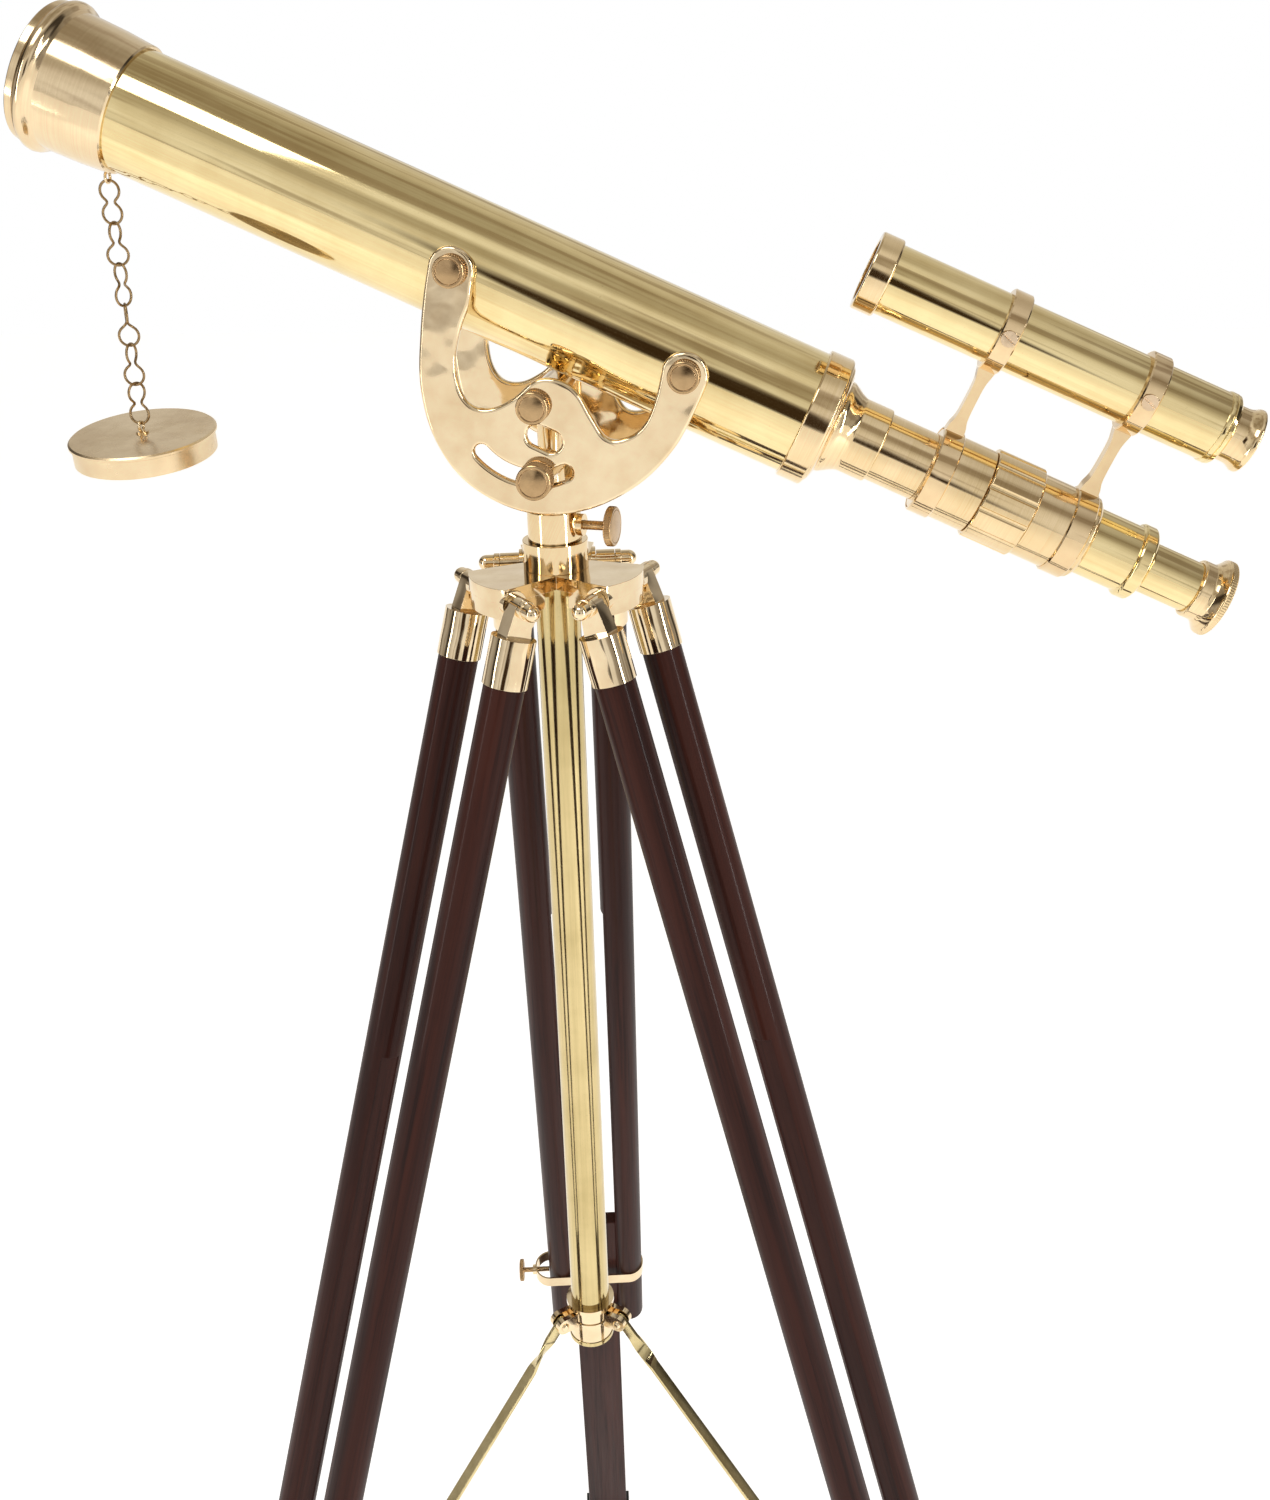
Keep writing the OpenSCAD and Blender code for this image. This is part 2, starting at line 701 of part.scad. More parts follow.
module clamp_screw(k) {
    color("#b0894a") on_leg(k) translate([0, 0, -strap_s]) {
        along_y(rod_half + rod_r + 0.1, strap_end + 13, 2.5);
        along_y(strap_end + 12.5, strap_end + 16.5, 10);
        along_y(strap_end + 16.5, strap_end + 17.3, 10, 9);
    }
}

module leg_board(k) {
    bottom = leg_len - 7;
    color("#38221e") on_leg(k)
        translate([-board_t / 2, -board_w / 2, -bottom]) cube([board_t, board_w, bottom - board_top]);
}

// rubber shoe, cut level with the floor
module foot_tip(k) {
    color("#1c1a1a") difference() {
        on_leg(k) difference() {
            translate([-board_t / 2 - 3, -board_w / 2 - 3, -leg_len - 10])
                cube([board_t + 6, board_w + 6, 31]);
            translate([-board_t / 2, -board_w / 2, -leg_len + 7]) cube([board_t, board_w, 40]);
        }
        translate([-600, -600, -60]) cube([1200, 1200, 60]);
    }
}

// ---- struts ----

// flat bar from the collar's clevis to the leg's yoke, with an upright tab at each end
module strut(k) {
    dx = pin_r + yoke_s * sin(leg_lean) + yoke_out * cos(leg_lean) - collar_pin[0];
    dz = pin_z - yoke_s * cos(leg_lean) + yoke_out * sin(leg_lean) - collar_pin[1];
    span = norm([dx, dz]);
    tab = 36;
    color("#c9b070") rotate([0, 0, leg_az[k]]) translate([collar_pin[0], 0, collar_pin[1]])
        rotate([0, atan2(-dz, dx), 0]) difference() {
            union() {
                along_y(-1.5, 1.5, 5);
                translate([0, -1.5, -4.5]) cube([tab, 3, 9]);
                translate([tab - 12, -4.5, -1.5]) cube([span - 2 * tab + 24, 9, 3]);
                translate([span - tab, -1.5, -4.5]) cube([tab, 3, 9]);
                translate([span, 0, 0]) along_y(-1.5, 1.5, 5);
            }
            along_y(-2, 2, 2 + fit_gap);
        }
}

// ---- chain and cap ----

// twisted links of two loops each, hanging plumb from the dew cap's eye
module chain() {
    color("#8f7448") for (i = [0:link_count - 1]) {
        z = first_loop - i * (link_step + link_gap);
        translate([hook[0], 0, z]) {
            rotate([0, 0, loop_turn[2 * i]]) wire_ring(link_r, wire_r);
            translate([0, 0, -link_step]) rotate([0, 0, loop_turn[2 * i + 1]])
                wire_ring(link_r, wire_r);
        }
    }
}

// push-on cap with a rolled lip and an eye on top, hanging a little out of level
module lens_cap() {
    h = 14.8;
    color("#b89a6c") translate([hook[0], 0, cap_eye]) rotate([cap_lean, 0, 0])
        translate([0, 0, cap_top - cap_eye]) {
            rotate_extrude() polygon([[0, 0], [45.6, 0], [46.8, -1], [46.8, -2.4], [45.2, -3.2],
                [45.2, -h], [43.9, -h], [43.9, -1.6], [0, -1.6]]);
            translate([0, 0, -0.1]) cylinder(h = 1.2, r = 4);
            translate([0, 0, -0.1]) cylinder(h = 2.2, r = 1.4);
            translate([0, 0, 1.2 + eye_r]) rotate([0, 0, 90]) wire_ring(eye_r, eye_wire);
        }
}
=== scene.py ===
"""Looks for a brass telescope with finder on a folding wooden tripod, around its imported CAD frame."""

import math

import bmesh
import bpy
from mathutils import Matrix, Vector


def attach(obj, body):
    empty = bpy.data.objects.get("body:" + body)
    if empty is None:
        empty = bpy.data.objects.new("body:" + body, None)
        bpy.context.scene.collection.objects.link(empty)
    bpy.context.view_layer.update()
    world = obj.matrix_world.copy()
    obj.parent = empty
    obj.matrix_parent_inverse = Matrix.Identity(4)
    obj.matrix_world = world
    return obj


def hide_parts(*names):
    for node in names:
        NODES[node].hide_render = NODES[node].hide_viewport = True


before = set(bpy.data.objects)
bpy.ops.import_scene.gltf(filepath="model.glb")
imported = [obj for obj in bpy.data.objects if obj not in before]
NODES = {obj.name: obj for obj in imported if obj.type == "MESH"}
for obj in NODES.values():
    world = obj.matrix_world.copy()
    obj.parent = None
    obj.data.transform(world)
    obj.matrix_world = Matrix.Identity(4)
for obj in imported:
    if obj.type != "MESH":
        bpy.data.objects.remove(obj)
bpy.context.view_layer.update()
LEGS = "abc"

# ---- driving sizes, in millimetres as in the CAD ----
MM = 0.001
TILT = math.radians(24.45)
PIN_Z = 1269.0
PIVOT_Z = PIN_Z + 122.3
PIVOT_DROP = 53.4        # from the tube's axis to the tilt pivot
AXIS_Z = PIVOT_Z + PIVOT_DROP / math.cos(TILT)
TUBE_R = 38.1
CHEEK_T = 6.0            # a cheek plate's thickness
SLOT_R = 43.3            # from the tilt pivot to the clamp stud in its slot
ARM_HALF = 74.0          # half the distance between a cheek plate's two tube screws
LEAN = math.radians(15.77)
PIN_R = 44.15            # leg pins, from the column's axis
LEG_AZ = [math.radians(-139.55 + 120 * k) for k in range(3)]
ROD_R = 13.1
ROD_HALF = 32.0          # half the distance between a leg's two rods
STRAP_S = 826.0          # band clamp and strut pivot, down the leg from its pin
YOKE_S = 890.0
YOKE_OUT = -22.0
COLLAR_PIN = (26.0, PIN_Z - 587.5)      # a strut's inner pivot: distance from the axis, and height
LOCK_Z = PIN_Z + 38.4
LOCK_AZ = math.radians(-8.2)
HOOK = (-275.6, -44.0)   # the dew cap's eye, along the tube's axis and square to it
EYE_R = 3.2
EYE_WIRE = 0.9
LINK_R = 6.42
LINK_NECK = 1.0          # between a link's two loops
WIRE_R = 0.75
PLAY = 0.05
LOOP_TURN = [(0, 0), (85, 20), (-30, 70), (-60, 10), (88, 5), (65, 0)]    # of each link's two loops
BOLT_FACE = TUBE_R + CHEEK_T + 0.3          # where a bolt head meets its cheek plate
REAR_REACH = 446.2
STRAP_END = ROD_HALF + 12 + ROD_R


def move(x=0.0, y=0.0, z=0.0):
    return Matrix.Translation((x, y, z))


def turn(angle, axis):
    return Matrix.Rotation(angle, 4, axis)


# frames: a tube's X runs to the eyepiece; a leg's Z runs up along it and its X points outwards
AXIS = move(z=AXIS_Z) @ turn(TILT, "Y")
PIVOT = move(z=PIVOT_Z) @ turn(TILT, "Y")
ALONG_X = turn(math.pi / 2, "Y")
ALONG_Y = {1: turn(-math.pi / 2, "X"), -1: turn(math.pi / 2, "X")}
LEG = [turn(a, "Z") @ move(PIN_R, 0, PIN_Z) @ turn(-LEAN, "Y") for a in LEG_AZ]


# ---- materials ----
class Graph:
    """A node material, and short calls that add nodes to it."""

    def __init__(self, name):
        self.material = bpy.data.materials.new(name)
        self.material.use_nodes = True
        self.tree = self.material.node_tree
        self.shader = self.tree.nodes.get("Principled BSDF")

    @classmethod
    def of(cls, owner):
        """The same calls on a material or world that is there already."""
        graph = cls.__new__(cls)
        graph.material = owner
        graph.tree = owner.node_tree
        graph.shader = graph.tree.nodes.get("Principled BSDF")
        return graph

    def node(self, kind, inputs=(), **settings):
        new = self.tree.nodes.new("ShaderNode" + kind)
        for key, value in settings.items():
            setattr(new, key, value)
        for key, value in dict(inputs).items():
            self.set(new.inputs[key], value)
        return new

    def set(self, socket, value):
        if isinstance(value, bpy.types.NodeSocket):
            self.tree.links.new(value, socket)
        else:
            socket.default_value = value

    def shade(self, **values):
        for key, value in values.items():
            self.set(self.shader.inputs[key.replace("_", " ")], value)

    def place(self, matrix=Matrix(), scale=(1, 1, 1), shift=(0, 0, 0)):
        """Object coordinates turned into the axes of a frame, then stretched."""
        where = self.node("TexCoord").outputs["Object"]
        back = matrix.to_3x3().transposed().to_euler()
        turned = self.node("Mapping", {"Vector": where, "Rotation": back, "Location": shift})
        return self.node("Mapping", {"Vector": turned.outputs[0], "Scale": scale}).outputs[0]

    def noise(self, where, scale, detail=3.0, roughness=0.55, distortion=0.0):
        made = self.node("TexNoise", {"Vector": where, "Scale": scale, "Detail": detail,
                                      "Roughness": roughness, "Distortion": distortion})
        return made.outputs["Fac"]

    def span(self, value, low, high, to_low=0.0, to_high=1.0):
        made = self.node("MapRange", {"Value": value, "From Min": low, "From Max": high,
                                      "To Min": to_low, "To Max": to_high})
        return made.outputs[0]

    def math(self, kind, a, b=0.0):
        return self.node("Math", {0: a, 1: b}, operation=kind).outputs[0]

    def mix(self, factor, a, b):
        made = self.node("Mix", data_type="RGBA")
        self.set(made.inputs[0], factor)
        self.set(made.inputs[6], a)
        self.set(made.inputs[7], b)
        return made.outputs[2]

    def bump(self, height, distance, below=None):
        made = self.node("Bump", {"Height": height, "Distance": distance, "Strength": 1.0})
        if below is not None:
            self.set(made.inputs["Normal"], below)
        return made.outputs[0]


def rgb(red, green, blue):
    return (red, green, blue, 1.0)


def metal(name, matrix, stretch, colour, stain, rough, lines, spots, wave=0.0):
    """Brass in a frame: stained in soft patches, with streaks, specks and fine lines, and cast waves.
    stretch draws out the streaks and lines; lines and wave are their heights in metres."""
    g = Graph(name)
    plain = g.place(matrix)
    drawn = g.place(matrix, stretch)
    patches = g.span(g.noise(plain, 26.0, 4.0), 0.42, 0.72)
    streaks = g.span(g.noise(drawn, 1.0, 5.0, 0.6), 0.40, 0.75)
    specks = g.span(g.noise(plain, 900.0, 2.0), 0.70, 0.78)
    stained = g.math("MULTIPLY", g.math("ADD", patches, streaks), 0.32)
    aged = g.mix(stained, colour, stain)
    dark = rgb(*(0.45 * c for c in stain[:3]))
    marked = g.mix(g.math("MULTIPLY", specks, spots), aged, dark)
    smear = g.noise(drawn, 2.2, 4.0, 0.65)
    g.shade(Metallic=1.0, Base_Color=marked)
    g.shade(Roughness=g.span(smear, 0.3, 0.75, rough[0], rough[1]))
    height = g.bump(g.noise(drawn, 3.0, 6.0, 0.7), lines)
    if wave:
        height = g.bump(g.noise(plain, 34.0, 1.0, 0.4), wave, height)
    g.shade(Normal=height)
    return g.material


def wood(name, matrix, shift):
    """Dark mahogany stain under satin lacquer, with open pores along the leg."""
    g = Graph(name)
    fibres = g.place(matrix, (260, 260, 7), shift)
    broad = g.place(matrix, (42, 42, 1.6), shift)
    figure = g.span(g.noise(broad, 1.0, 4.0, 0.6, 1.2), 0.34, 0.70)
    pores = g.noise(fibres, 1.0, 5.0, 0.65)
    ground = g.mix(figure, rgb(0.020, 0.0058, 0.0042), rgb(0.056, 0.0150, 0.0095))
    dark = g.math("MULTIPLY", g.span(pores, 0.52, 0.70), 0.65)
    g.shade(Base_Color=g.mix(dark, ground, rgb(0.008, 0.004, 0.004)))
    g.shade(Roughness=g.span(pores, 0.3, 0.7, 0.34, 0.52))
    g.shade(Specular_IOR_Level=0.08, Coat_Weight=0.10, Coat_Roughness=0.09)
    g.shade(Normal=g.bump(pores, 0.00012, g.bump(g.noise(broad, 3.0, 3.0), 0.0004)))
    return g.material


def glass(name):
    g = Graph(name)
    dust = g.noise(g.place(), 300.0, 3.0)
    g.shade(Base_Color=g.mix(g.span(dust, 0.5, 0.8), rgb(0.80, 0.90, 0.93), rgb(0.62, 0.70, 0.74)))
    g.shade(Transmission_Weight=0.92, IOR=1.5, Roughness=g.span(dust, 0.4, 0.8, 0.01, 0.07))
    return g.material


def rubber(name):
    g = Graph(name)
    grit = g.noise(g.place(), 700.0, 4.0)
    g.shade(Base_Color=g.mix(grit, rgb(0.010, 0.010, 0.010), rgb(0.035, 0.033, 0.031)))
    g.shade(Roughness=g.span(grit, 0.3, 0.7, 0.62, 0.85), Normal=g.bump(grit, 0.0002))
    return g.material


# stretches of the streaks
DRAWN = (9, 420, 420)          # along a tube
RINGED = (2600, 14, 14)        # turning marks around a tube
EVEN = (160, 160, 160)
BROAD = (60, 60, 60)
FINE = (300, 300, 300)

YELLOW = rgb(0.87, 0.71, 0.38)
STRAW = rgb(0.86, 0.67, 0.41)
ROSE = rgb(0.87, 0.71, 0.47)
PINK = rgb(0.80, 0.62, 0.43)
COPPER = rgb(0.84, 0.64, 0.38)
TAN = rgb(0.84, 0.67, 0.43)
SAND = rgb(0.72, 0.60, 0.33)
REED = rgb(0.66, 0.53, 0.27)
AMBER = rgb(0.60, 0.41, 0.21)
OLIVE = rgb(0.56, 0.39, 0.15)
UMBER = rgb(0.56, 0.39, 0.21)
BRONZE = rgb(0.55, 0.37, 0.19)
MOSS = rgb(0.36, 0.27, 0.10)
DUSK = rgb(0.33, 0.23, 0.12)
BROWN = rgb(0.26, 0.15, 0.07)

UPRIGHT = turn(-math.pi / 2, "Y")
WORLD = Matrix()
TUBE = metal("brass_tube", AXIS, DRAWN, YELLOW, OLIVE, rough=(0.04, 0.11), lines=4e-6, spots=0.35, wave=3e-5)
POST = metal("brass_post", UPRIGHT, DRAWN, REED, MOSS, rough=(0.08, 0.18), lines=4e-6, spots=0.35, wave=4e-5)
TURNED = metal("brass_turned", AXIS, RINGED, STRAW, OLIVE, rough=(0.06, 0.14), lines=2e-6, spots=0.2)
CAST = metal("brass_cast", PIVOT, BROAD, ROSE, AMBER, rough=(0.04, 0.10), lines=2e-6, spots=0.12, wave=1.3e-3)
RING = metal("brass_ring", AXIS, BROAD, COPPER, UMBER, rough=(0.04, 0.11), lines=2e-6, spots=0.2, wave=6e-4)
FACE = metal("brass_face", AXIS, EVEN, PINK, BRONZE, rough=(0.05, 0.16), lines=4e-6, spots=0.3, wave=1e-4)
SATIN = metal("brass_satin", AXIS, RINGED, TAN, UMBER, rough=(0.09, 0.18), lines=8e-6, spots=0.1)
SATIN_CAP = metal("brass_satin_cap", WORLD, BROAD, TAN, UMBER, rough=(0.20, 0.30), lines=2e-6, spots=0.1)
AGED = metal("brass_aged", AXIS, EVEN, BRONZE, BROWN, rough=(0.14, 0.28), lines=1e-5, spots=0.4)
STRUT = metal("brass_strut", WORLD, EVEN, SAND, MOSS, rough=(0.10, 0.20), lines=4e-6, spots=0.3, wave=1.5e-4)
WIRE = metal("brass_wire", WORLD, FINE, DUSK, BROWN, rough=(0.2, 0.36), lines=1e-5, spots=0.3)
WOOD = [wood("mahogany_" + n, LEG[k], (0.31 * k, 0.17 * k, 0.4 * k)) for k, n in enumerate(LEGS)]
GLASS = glass("lens_glass")
RUBBER = rubber("shoe_rubber")


def spun(material, amount):
    """Highlights fanned about the object's upright axis, as on a face turned in a lathe."""
    g = Graph.of(material)
    g.shade(Tangent=g.node("Tangent", direction_type="RADIAL", axis="Z").outputs[0], Anisotropic=amount)


spun(SATIN_CAP, 0.7)


# ---- mesh building ----
NEARLY_STRAIGHT = -0.96        # cosine between the two sides of a corner that is left as it is


def rounded(points, radius, closed):
    """The line with each of its corners cut by a small round."""
    made = []
    count = len(points)
    for i, p in enumerate(points):
        if not closed and i in (0, count - 1):
            made.append(p)
            continue
        back = points[i - 1] - p
        ahead = points[(i + 1) % count] - p
        if back.normalized().dot(ahead.normalized()) < NEARLY_STRAIGHT:
            made.append(p)
            continue
        cut = min(radius, 0.36 * back.length, 0.36 * ahead.length)
        a = p + back.normalized() * cut
        b = p + ahead.normalized() * cut
        for t in (0, 1 / 3, 2 / 3, 1):
            made.append(a * (1 - t) ** 2 + p * 2 * t * (1 - t) + b * t * t)
    return made


def lathe(profile, corner=0.5, teeth=0, steps=96):
    """Vertices and faces turned about Z from (height, radius, tooth depth) points.
    A profile that starts on the axis is an open line; any other is a closed loop."""
    line = [Vector((p[0], p[1], p[2] if len(p) > 2 else 0.0)) for p in profile]
    closed = line[0].y > 0
    line = rounded(line, corner, closed)
    if teeth:
        steps = teeth * 4
    verts, faces, rings = [], [], []
    for height, radius, depth in line:
        if radius < 1e-6:
            rings.append([len(verts)] * steps)
            verts.append((0.0, 0.0, height))
            continue
        rings.append(range(len(verts), len(verts) + steps))
        for j in range(steps):
            cut = depth * (0.0, 0.5, 1.0, 0.5)[j % 4]
            angle = math.tau * j / steps
            verts.append(((radius - cut) * math.cos(angle), (radius - cut) * math.sin(angle), height))
    pairs = zip(rings, rings[1:] + rings[:1]) if closed else zip(rings, rings[1:])
    for a, b in pairs:
        for j in range(steps):
            k = (j + 1) % steps
            face = list(dict.fromkeys((a[j], a[k], b[k], b[j])))
            if len(face) > 2:
                faces.append(face)
    return verts, faces


def thread(radius, start, end, pitch, depth=0.35, sides=24):
    """A rod with a screw thread along Z."""
    rows = int((end - start) / pitch * 4)
    verts, faces = [], []
    for i in range(rows + 1):
        height = start + (end - start) * i / rows
        for j in range(sides):
            phase = (height / pitch - j / sides) % 1.0
            r = radius - depth * abs(2 * phase - 1)
            angle = math.tau * j / sides
            verts.append((r * math.cos(angle), r * math.sin(angle), height))
    for i in range(rows):
        for j in range(sides):
            k = (j + 1) % sides
            faces.append((i * sides + j, i * sides + k, (i + 1) * sides + k, (i + 1) * sides + j))
    faces.append(tuple(reversed(range(sides))))
    faces.append(tuple(range(rows * sides, (rows + 1) * sides)))
    return verts, faces


def sweep(points, radius, sides=10):
    """A closed loop of round wire through the points."""
    count = len(points)
    verts, faces = [], []
    side = None
    for i, p in enumerate(points):
        ahead = (points[(i + 1) % count] - points[i - 1]).normalized()
        side = ahead.orthogonal() if side is None else side
        side = (side - ahead * side.dot(ahead)).normalized()
        up = ahead.cross(side)
        for j in range(sides):
            angle = math.tau * j / sides
            verts.append(p + (side * math.cos(angle) + up * math.sin(angle)) * radius)
    first = Vector(verts[0]) - points[0]
    offset = round(math.atan2(first.dot(up), first.dot(side)) / math.tau * sides)
    for i in range(count):
        step = offset if i == count - 1 else 0
        for j in range(sides):
            k = (j + 1) % sides
            a, b = i * sides, (i + 1) % count * sides
            faces.append((a + j, a + k, b + (k - step) % sides, b + (j - step) % sides))
    return verts, faces


def build(name, parts, body, materials, replaces):
    """One object from (matrix, (vertices, faces), material number) parts, in millimetres."""
    verts, faces, chosen = [], [], []
    for matrix, (points, polygons), number in parts:
        start = len(verts)
        verts += [(matrix @ Vector(p)) * MM for p in points]
        faces += [[start + i for i in polygon] for polygon in polygons]
        chosen += [number] * len(polygons)
    mesh = bpy.data.meshes.new(name)
    mesh.from_pydata(verts, [], faces)
    mesh.polygons.foreach_set("material_index", chosen)
    return finish_piece(name, mesh, body, materials, replaces)


def weigh_normals(piece):
    """Normals that follow the large faces, so that flats stay flat beside their rounded edges."""
    piece.modifiers.new("weighted", "WEIGHTED_NORMAL").weight = 80


def finish_piece(name, mesh, body, materials, replaces):
    """An object of the mesh with clean smooth normals, riding on its body in place of its nodes."""
    mesh.materials.clear()
    for material in materials:
        mesh.materials.append(material)
    work = bmesh.new()
    work.from_mesh(mesh)
    bmesh.ops.remove_doubles(work, verts=work.verts, dist=1e-7)
    bmesh.ops.recalc_face_normals(work, faces=work.faces)
    work.to_mesh(mesh)
    work.free()
    mesh.polygons.foreach_set("use_smooth", [True] * len(mesh.polygons))
    piece = bpy.data.objects.new(name, mesh)
    bpy.context.scene.collection.objects.link(piece)
    weigh_normals(piece)
    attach(piece, body)
    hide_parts(*replaces)
    return piece


# ---- CAD nodes that stay: softened edges and a material ----
SMALL_EDGE = 0.4


def finish_node(name, material, edge):
    """A material and smooth shading, with each sharp edge rounded over by edge millimetres."""
    piece = NODES[name]
    mesh = piece.data
    custom = mesh.attributes.get("custom_normal")
    if custom is not None:
        mesh.attributes.remove(custom)
    mesh.polygons.foreach_set("use_smooth", [True] * len(mesh.polygons))
    mesh.materials.clear()
    mesh.materials.append(material)
    weld = piece.modifiers.new("weld", "WELD")
    weld.merge_threshold = 1e-6
    if edge:
        flat = piece.modifiers.new("flat", "DECIMATE")
        flat.decimate_type = "DISSOLVE"
        flat.angle_limit = math.radians(0.6)
        bevel = piece.modifiers.new("bevel", "BEVEL")
        bevel.width = edge * MM
        bevel.segments = 2
        bevel.limit_method = "ANGLE"
        bevel.angle_limit = math.radians(28)
        bevel.use_clamp_overlap = True
        weigh_normals(piece)


LOOKS = {
    TUBE: ["main_tube", "finder_tube", "drawtube_1", "drawtube_2"],
    POST: ["column", "column_cap"],
    TURNED: ["tube_end_ring", "rear_bell", "finder_cell", "focus_housing", "focus_ring",
             "erector_cell", "objective_cell", "finder_eyecup", "hub_post", "azimuth_sleeve", "pillar"],
    CAST: ["head_plate", "leg_bolts", "spreader_collar", "spreader_pins"]
          + ["leg_fittings_" + n for n in LEGS] + ["clamp_band_" + n for n in LEGS],
    RING: ["finder_bracket_front", "finder_bracket_rear"],
    SATIN: ["dew_cap"],
    SATIN_CAP: ["lens_cap"],
    FACE: ["finder_screws"],
    GLASS: ["objective_lens", "finder_lens", "finder_eye_lens", "eye_lens"],
    RUBBER: ["foot_tip_" + n for n in LEGS],
}
for material, names in LOOKS.items():
    for name in names:
        finish_node(name, material, edge=0.0 if material is GLASS else SMALL_EDGE)
for k, n in enumerate(LEGS):
    finish_node("leg_rods_" + n, WOOD[k], edge=1.0)
    finish_node("leg_board_" + n, WOOD[k], edge=1.2)


# ---- cheek plates ----
def in_metres(matrix):
    return Matrix.Translation(matrix.translation * MM) @ matrix.to_3x3().to_4x4()


def outlines(mesh, height):
    """Closed outlines of a flat plate's face at a height along Y, in the pivot's frame and in metres."""
    back = in_metres(PIVOT).inverted()
    work = bmesh.new()
    work.from_mesh(mesh)
    bmesh.ops.remove_doubles(work, verts=work.verts, dist=1e-6)
    edges = set()
    for face in work.faces:
        if abs(face.normal.y) > 0.9 and abs(face.calc_center_median().y - height) < 1e-4:
            edges ^= set(face.edges)
    ahead = {}
    for edge in edges:
        for a, b in (edge.verts, reversed(edge.verts)):
            ahead.setdefault(a, []).append(b)
    loops = []
    while ahead:
        start = next(iter(ahead))
        loop, here, last = [], start, None
        while here in ahead:
            loop.append(back @ here.co)
            options = ahead.pop(here)
            here, last = next(v for v in options if v is not last), here
        loops.append([(p.x, p.z) for p in loop])
    work.free()
    return loops


def rounded_plate(side, sign):
    """A plate cut from the node's own outline, with its edges rounded over as by polishing."""
    node = "cheek_plate_" + side
    round_over = 2.3 * MM
    curve = bpy.data.curves.new("plate_" + side, "CURVE")
    curve.dimensions = "2D"
    curve.fill_mode = "BOTH"
    curve.extrude = CHEEK_T / 2 * MM - round_over
    curve.bevel_depth = round_over
    curve.bevel_resolution = 5
    curve.offset = -round_over
    for loop in outlines(NODES[node].data, sign * (TUBE_R + CHEEK_T) * MM):
        spline = curve.splines.new("POLY")
        spline.points.add(len(loop) - 1)
        for point, (x, y) in zip(spline.points, loop):
            point.co = (x, y, 0, 1)
        spline.use_cyclic_u = True
    pattern = bpy.data.objects.new("pattern", curve)
    bpy.context.scene.collection.objects.link(pattern)
    evaluated = pattern.evaluated_get(bpy.context.evaluated_depsgraph_get())
    mesh = bpy.data.meshes.new_from_object(evaluated)
    bpy.data.objects.remove(pattern)
    mesh.transform(in_metres(PIVOT @ move(y=sign * (TUBE_R + CHEEK_T / 2)) @ turn(math.pi / 2, "X")))
    return finish_piece("plate_" + side, mesh, "tube", (CAST,), [node])


for side, sign in (("left", 1), ("right", -1)):
    rounded_plate(side, sign)


# ---- knurled screws and knobs ----
def knurled_head(matrix, radius, thickness, teeth, dome=0.5):
    """Parts of a head that stands up from its seat: a knurled rim, and a turned face inside it."""
    top = thickness - dome
    rim = [(0, radius - 2.2), (0, radius - 0.7), (0.6, radius, 0), (0.8, radius, 0.8),
           (top - 0.9, radius, 0.8), (top - 0.7, radius, 0), (top, radius - 0.8), (top, radius - 2.2)]
    face = [(0.2, 0), (0.2, radius - 2.1), (top - 0.5, radius - 2.1), (top, radius - 2.5)]
    face += [(top + dome * (1 - (r / 4) ** 2), (radius - 2.5) * r / 4) for r in (3, 2, 1, 0)]
    return [(matrix, lathe(rim, corner=0.3, teeth=teeth), 0), (matrix, lathe(face, corner=0.3), 1)]


def rod(matrix, radius, start, end):
    shape = lathe([(start, 0), (start, radius - 0.4), (start + 0.4, radius), (end - 0.4, radius),
                   (end, radius - 0.4), (end, 0)], corner=0.2, steps=48)
    return (matrix, shape, 0)


def cradle_screws():
    parts = []
    for side in (-1, 1):
        for across in (-ARM_HALF, ARM_HALF):
            seat = PIVOT @ move(across, side * (TUBE_R + CHEEK_T), PIVOT_DROP) @ ALONG_Y[side]
            parts += knurled_head(seat, radius=9.6, thickness=6.0, teeth=44)
            parts.append(rod(seat, radius=3.0, start=-CHEEK_T - 1.0, end=0.4))
    build("cradle_screws", parts, "tube", (AGED, FACE), ["cheek_screws"])


def tilt_bolts():
    parts = []
    centre = move(z=PIVOT_Z)
    low = move(z=PIVOT_Z - SLOT_R)
    for side in (-1, 1):
        seat = centre @ move(y=side * BOLT_FACE) @ ALONG_Y[side]
        parts += knurled_head(seat, radius=9.8, thickness=7.0, teeth=46)
    parts.append(rod(centre @ ALONG_Y[1], radius=4.0, start=-BOLT_FACE - 0.5, end=BOLT_FACE + 0.5))
    stud = thread(radius=4.0, start=-BOLT_FACE - 11, end=BOLT_FACE + 9, pitch=1.25)
    parts.append((low @ ALONG_Y[1], stud, 0))
    build("tilt_bolts", parts, "azimuth", (AGED, FACE), ["pillar_bolts"])
    seat = low @ move(y=-BOLT_FACE) @ ALONG_Y[-1]
    knob = knurled_head(seat, radius=10.8, thickness=13.0, teeth=48, dome=0.8)
    build("tilt_knob", knob, "tilt_lock", (AGED, FACE), ["clamp_knob"])
    nut = [(0, 4.2), (0, 9.2), (0.8, 10, 0), (1, 10, 0.5), (6, 10, 0.5), (6.2, 10, 0), (7, 9.2), (7, 4.2)]
    ring = (low @ move(y=BOLT_FACE) @ ALONG_Y[1], lathe(nut, corner=0.3, teeth=48), 0)
    build("tilt_nut", [ring], "azimuth", (AGED,), ["clamp_nut"])


